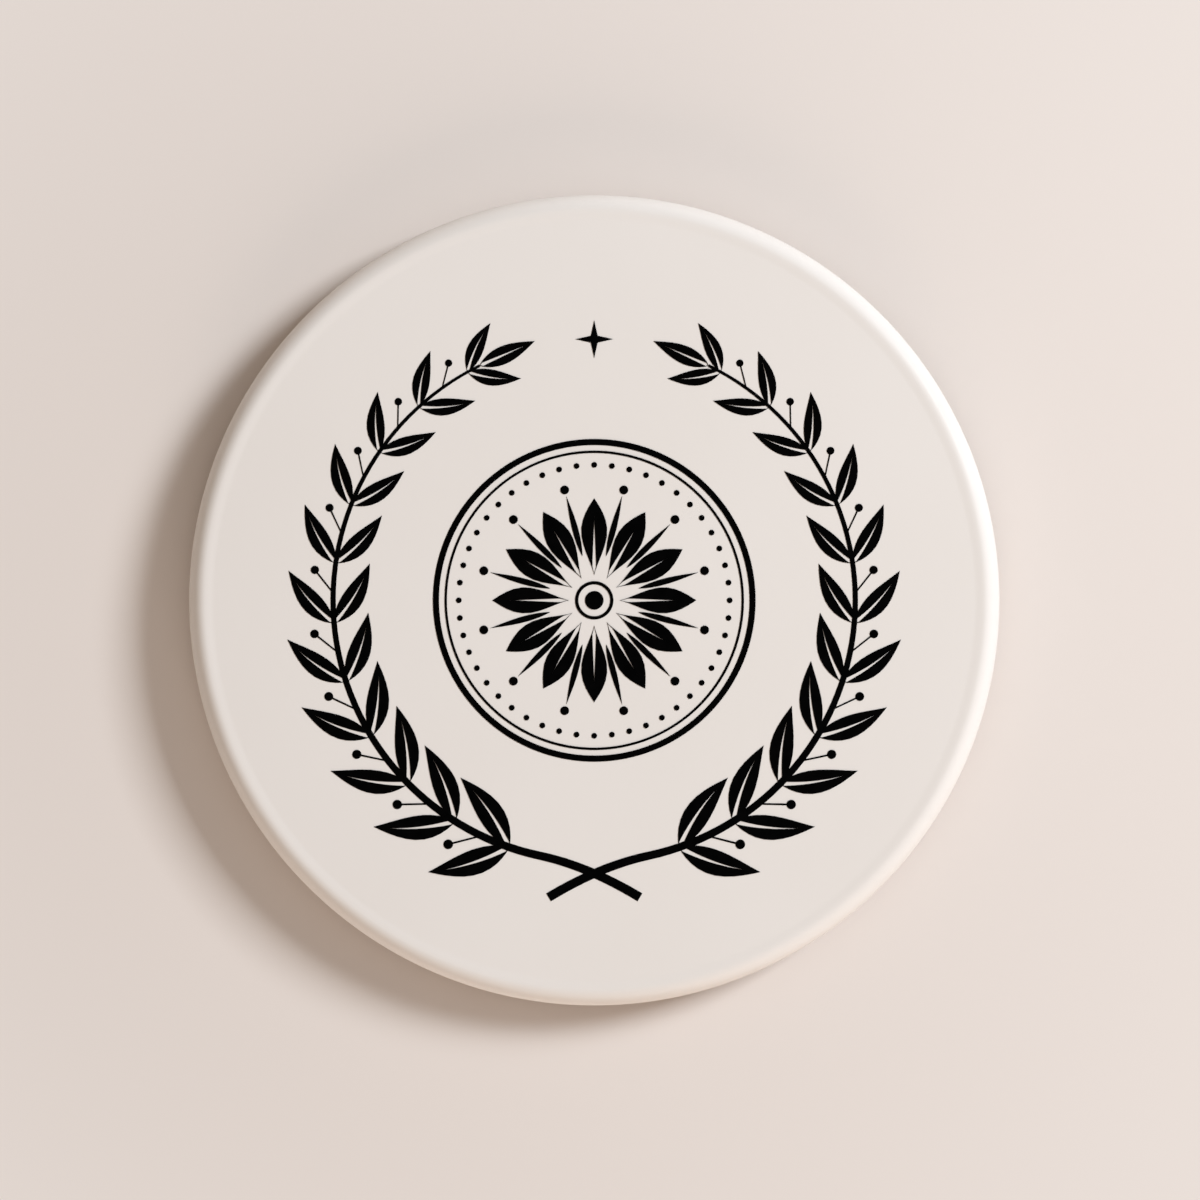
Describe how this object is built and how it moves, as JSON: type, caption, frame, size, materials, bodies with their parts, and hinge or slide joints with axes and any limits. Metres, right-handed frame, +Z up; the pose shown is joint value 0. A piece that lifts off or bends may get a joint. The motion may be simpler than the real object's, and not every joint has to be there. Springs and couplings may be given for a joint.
{
  "type": "drink coaster",
  "caption": "Round glazed ceramic coaster with a rounded edge and a cork backing, which lies flat and takes a glass or cup.",
  "frame": {"origin": "centre of the cork's underside, on the surface that the coaster lies on", "axes": "+Z up through the printed face, +Y towards the top of the printed design"},
  "size_m": [0.1, 0.1, 0.008],
  "materials": {
    "glazed_tile": "smooth cream glaze, satin gloss, with a bare biscuit back",
    "adhesive": "clear acrylic adhesive film with a milky cut edge",
    "cork": "pressed granular cork, sanded, matt",
    "printed_ink": "black printed ink, cured on the glaze, slightly raised"
  },
  "bodies": {
    "root": {"ceramic_tile": "glazed_tile", "adhesive_film": "adhesive", "cork_pad": "cork"}
  },
  "joints": []
}
